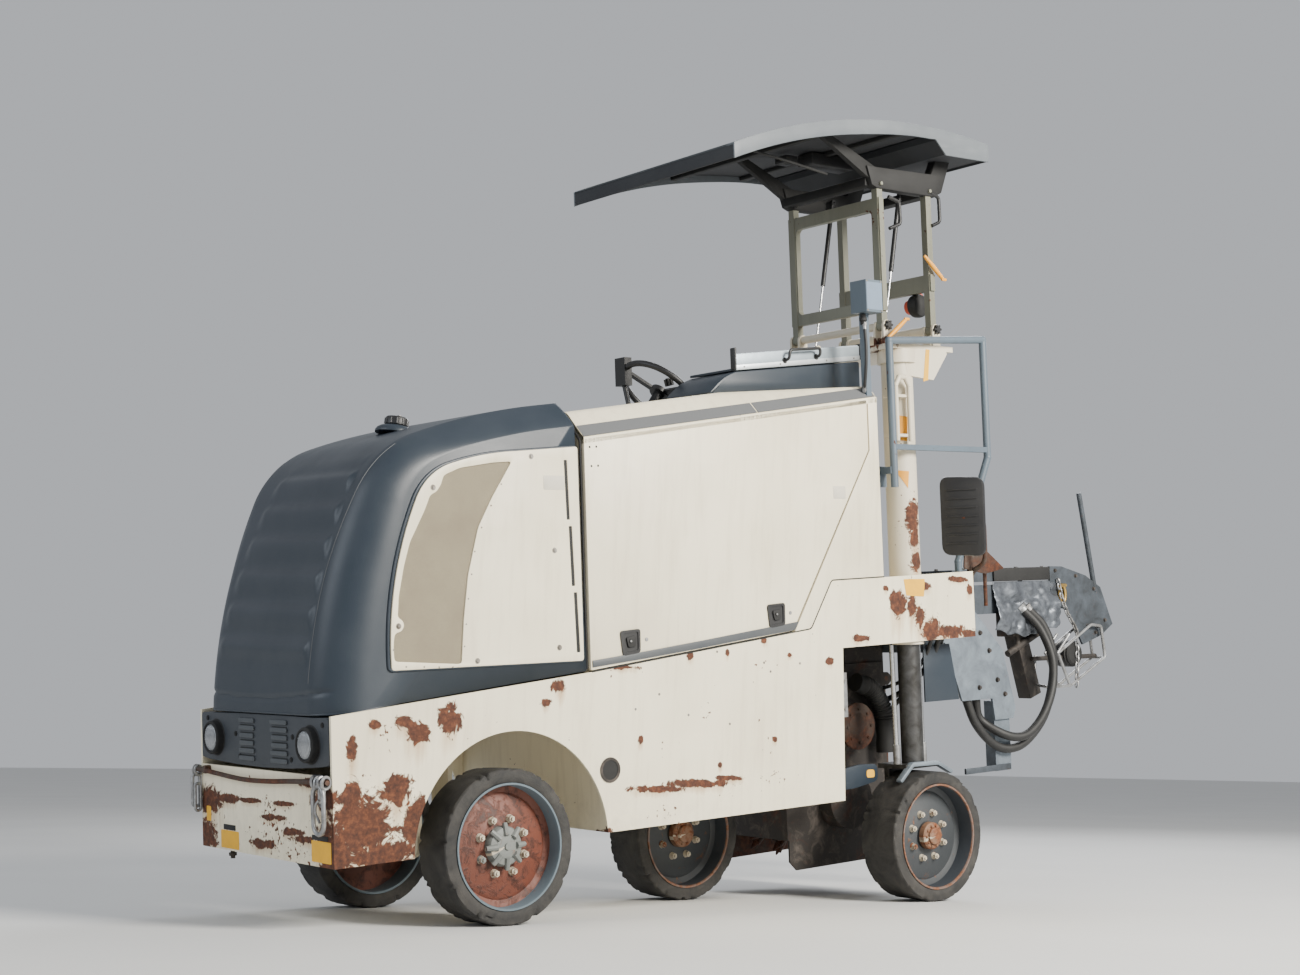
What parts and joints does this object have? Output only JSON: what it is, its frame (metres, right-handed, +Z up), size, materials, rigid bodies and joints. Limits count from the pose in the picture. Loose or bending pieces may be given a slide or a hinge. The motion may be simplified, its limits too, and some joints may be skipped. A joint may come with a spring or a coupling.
{
  "type": "cold planer milling machine",
  "caption": "Compact cold planer milling machine on four solid-tyred wheels, with a cream body, a slate hood, a milling drum at the rear right and a folding canopy.",
  "frame": {"origin": "bottom centre of the bounding box, on the ground", "axes": "+X forward, towards the hood; +Y to the machine's left; +Z up"},
  "size_m": [4.7174, 1.2667, 3.48],
  "materials": {
    "cream_paint": "satin",
    "slate_moulding": "matte",
    "grey_paint": "satin",
    "black_paint": "satin",
    "rail_paint": "satin",
    "lamp_glass": "clear",
    "cast": "rough",
    "steel": "worn",
    "zinc": "galvanised",
    "tyre": "matte",
    "rust": "rusty",
    "alu": "satin",
    "seat": "matte",
    "olive": "matte",
    "grp": "satin",
    "engine": "matte"
  },
  "bodies": {
    "chassis": {"hull": "cream_paint", "front_panel": "slate_moulding", "headlamps": "lamp_glass", "lashing_bar": "steel", "engine_block": "engine", "deck": "cream_paint", "rear_panel_left": "cream_paint", "right_side_panel": "cream_paint", "cockpit": "grey_paint", "console": "slate_moulding", "steering_column": "black_paint", "seat": "seat", "handrail": "rail_paint", "grab_rail": "cream_paint", "side_mirror": "black_paint", "junction_box": "rail_paint", "column_left": "cream_paint", "column_right": "cream_paint", "drum_housing": "grey_paint", "canopy_base": "cream_paint", "rear_tower": "zinc"},
    "hood": {"hood": "slate_moulding", "hood_panel_left": "cream_paint", "hood_panel_right": "cream_paint"},
    "left_door": {"left_door": "cream_paint"},
    "console_lid": {"console_lid": "alu"},
    "front_axle": {"front_axle": "cast"},
    "knuckle_left": {"knuckle_left": "cast"},
    "knuckle_right": {"knuckle_right": "cast"},
    "wheel_front_left": {"tyre_front_left": "tyre", "rim_front_left": "rust"},
    "wheel_front_right": {"tyre_front_right": "tyre", "rim_front_right": "rust"},
    "leg_left": {"leg_left": "steel"},
    "wheel_rear_left": {"tyre_rear_left": "tyre", "rim_rear_left": "grey_paint"},
    "leg_right": {"leg_right": "steel"},
    "swing_arm": {"swing_arm": "cast"},
    "wheel_rear_right": {"tyre_rear_right": "tyre", "rim_rear_right": "grey_paint"},
    "milling_drum": {"milling_drum": "cast"},
    "side_shield": {"side_shield": "steel"},
    "scraper": {"scraper": "grey_paint"},
    "canopy_front_link": {"canopy_front_link": "olive"},
    "canopy_rear_link": {"canopy_rear_link": "olive"},
    "canopy_roof": {"canopy_roof": "grp"},
    "strut_tubes": {"strut_tubes": "black_paint"},
    "strut_rods": {"strut_rods": "steel"},
    "conveyor_bracket": {"conveyor_bracket": "zinc"}
  },
  "joints": [
    {"name": "front_axle_swing", "type": "hinge", "parent": "chassis", "child": "front_axle", "pos_m": [1.609, -0.077, 0.28], "axis": [0.9959, 0, -0.0906], "range_deg": [-7, 2.6]},
    {"name": "steer_left", "type": "hinge", "parent": "front_axle", "child": "knuckle_left", "pos_m": [1.609, 0.268, 0.28], "axis": [0.0906, 0, 0.9959], "range_deg": [-28, 28]},
    {"name": "steer_right", "type": "hinge", "parent": "front_axle", "child": "knuckle_right", "pos_m": [1.609, -0.422, 0.28], "axis": [0.0906, 0, 0.9959], "range_deg": [-28, 28]},
    {"name": "wheel_front_left_spin", "type": "hinge", "parent": "knuckle_left", "child": "wheel_front_left", "pos_m": [1.609, 0.39, 0.28], "axis": [0, 1, 0], "continuous": true},
    {"name": "wheel_front_right_spin", "type": "hinge", "parent": "knuckle_right", "child": "wheel_front_right", "pos_m": [1.609, -0.544, 0.28], "axis": [0, 1, 0], "continuous": true},
    {"name": "column_left_slide", "type": "slide", "parent": "chassis", "child": "leg_left", "axis": [-0.0906, -0.0384, -0.9952], "range_m": [-0.27, 0.03]},
    {"name": "wheel_rear_left_spin", "type": "hinge", "parent": "leg_left", "child": "wheel_rear_left", "pos_m": [-0.66005, 0.36956, 0.28315], "axis": [-0.0035, 0.9993, -0.0382], "continuous": true},
    {"name": "column_right_slide", "type": "slide", "parent": "chassis", "child": "leg_right", "axis": [-0.0906, -0.0384, -0.9952], "range_m": [-0.27, 0.03]},
    {"name": "swing_arm_turn", "type": "hinge", "parent": "leg_right", "child": "swing_arm", "pos_m": [-0.08256, -0.49069, 0.4499], "axis": [0.0906, 0.0384, 0.9952], "range_deg": [-180, 0]},
    {"name": "wheel_rear_right_spin", "type": "hinge", "parent": "swing_arm", "child": "wheel_rear_right", "pos_m": [0.24869, -0.24173, 0.28315], "axis": [-0.0035, 0.9993, -0.0382], "continuous": true},
    {"name": "drum_spin", "type": "hinge", "parent": "chassis", "child": "milling_drum", "pos_m": [-0.55615, -0.07873, 0.43189], "axis": [-0.0035, 0.9993, -0.0382], "continuous": true},
    {"name": "side_shield_lift", "type": "slide", "parent": "chassis", "child": "side_shield", "axis": [0.0906, 0.0384, 0.9952], "range_m": [0, 0.21]},
    {"name": "scraper_hinge", "type": "hinge", "parent": "chassis", "child": "scraper", "pos_m": [-0.84521, -0.05857, 0.98498], "axis": [-0.0035, 0.9993, -0.0382], "range_deg": [0, 85]},
    {"name": "hood_hinge", "type": "hinge", "parent": "chassis", "child": "hood", "pos_m": [1.33695, -0.01439, 1.94129], "axis": [0.0035, -0.9993, 0.0382], "range_deg": [0, 55]},
    {"name": "left_door_hinge", "type": "hinge", "parent": "chassis", "child": "left_door", "pos_m": [1.321, 0.49071, 1.80468], "axis": [0.9813, -0.0039, -0.1924], "range_deg": [0, 90]},
    {"name": "console_lid_hinge", "type": "hinge", "parent": "chassis", "child": "console_lid", "pos_m": [0.08514, 0.31693, 2.29265], "axis": [-0.9959, 0, 0.0906], "range_deg": [0, 90]},
    {"name": "canopy_fold", "type": "hinge", "parent": "chassis", "child": "canopy_front_link", "pos_m": [-0.39448, 0.00246, 2.53935], "axis": [-0.0035, 0.9993, -0.0382], "range_deg": [0, 50]},
    {"name": "canopy_rear_fold", "type": "hinge", "parent": "chassis", "child": "canopy_rear_link", "pos_m": [-0.71316, 0.00246, 2.56835], "axis": [-0.0035, 0.9993, -0.0382], "range_deg": [0, 50]},
    {"name": "canopy_level", "type": "hinge", "parent": "canopy_front_link", "child": "canopy_roof", "pos_m": [-0.33651, 0.02703, 3.17625], "axis": [-0.0035, 0.9993, -0.0382], "range_deg": [-50, 0]},
    {"name": "strut_swing", "type": "hinge", "parent": "chassis", "child": "strut_rods", "pos_m": [-0.45785, 0.00093, 2.50499], "axis": [-0.0035, 0.9993, -0.0382], "range_deg": [0, 47.18]},
    {"name": "strut_slide", "type": "slide", "parent": "strut_rods", "child": "strut_tubes", "axis": [-0.1172, 0.0376, 0.9924], "range_m": [-0.13617, 0]},
    {"name": "conveyor_slew", "type": "hinge", "parent": "chassis", "child": "conveyor_bracket", "pos_m": [-1.13985, -0.01704, 0.52785], "axis": [0.0906, 0.0384, 0.9952], "range_deg": [-20, 20]}
  ],
  "couplings": [
    {"joint": "steer_right", "follows": "steer_left", "ratio": 1},
    {"joint": "canopy_rear_fold", "follows": "canopy_fold", "ratio": 1},
    {"joint": "canopy_level", "follows": "canopy_fold", "ratio": -1},
    {"joint": "strut_swing", "follows": "canopy_fold", "ratio": 0.94368},
    {"joint": "strut_slide", "follows": "canopy_fold", "m_per_rad": -0.15604}
  ]
}
